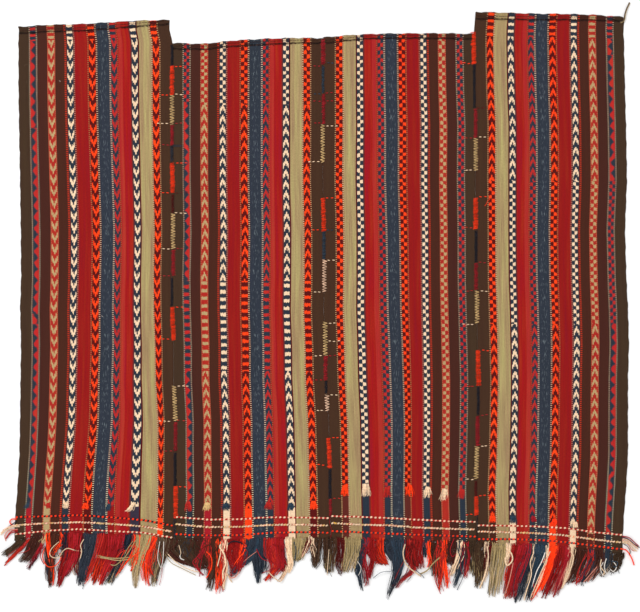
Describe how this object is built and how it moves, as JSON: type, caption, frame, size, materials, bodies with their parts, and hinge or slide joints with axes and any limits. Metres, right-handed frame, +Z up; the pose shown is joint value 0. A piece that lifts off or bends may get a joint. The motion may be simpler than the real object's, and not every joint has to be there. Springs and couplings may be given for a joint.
{
  "type": "flatwoven kilim rug",
  "caption": "Flat kilim rug of warp-faced striped woven strips sewn edge to edge, hemmed at the top, with twined rows and a cut warp fringe at the bottom.",
  "frame": {"origin": "centre of the rug's footprint, fringe included, on the surface it lies on", "axes": "+Z up out of the cloth's face, +X across the woven strips to the right, +Y towards the hemmed end"},
  "size_m": [1.667, 1.5798, 0.0033],
  "materials": {
    "striped_wool": "warp-faced wool weave, matt, striped in reds, browns, navy and khaki",
    "cut_warp_wool": "loose wool yarn, matt, in the stripes' colours",
    "cream_twining_yarn": "two-ply wool yarn, matt cream with pink and orange",
    "brown_hem_yarn": "two-ply wool yarn, matt grey-brown"
  },
  "bodies": {
    "root": {"strip_1": "striped_wool", "strip_2": "striped_wool", "strip_3": "striped_wool", "strip_4": "striped_wool", "fringe_1": "cut_warp_wool", "fringe_2": "cut_warp_wool", "fringe_3": "cut_warp_wool", "fringe_4": "cut_warp_wool", "twining_ends_left": "cream_twining_yarn", "twining_ends_right": "cream_twining_yarn", "yarn_end_top": "brown_hem_yarn"}
  },
  "joints": []
}
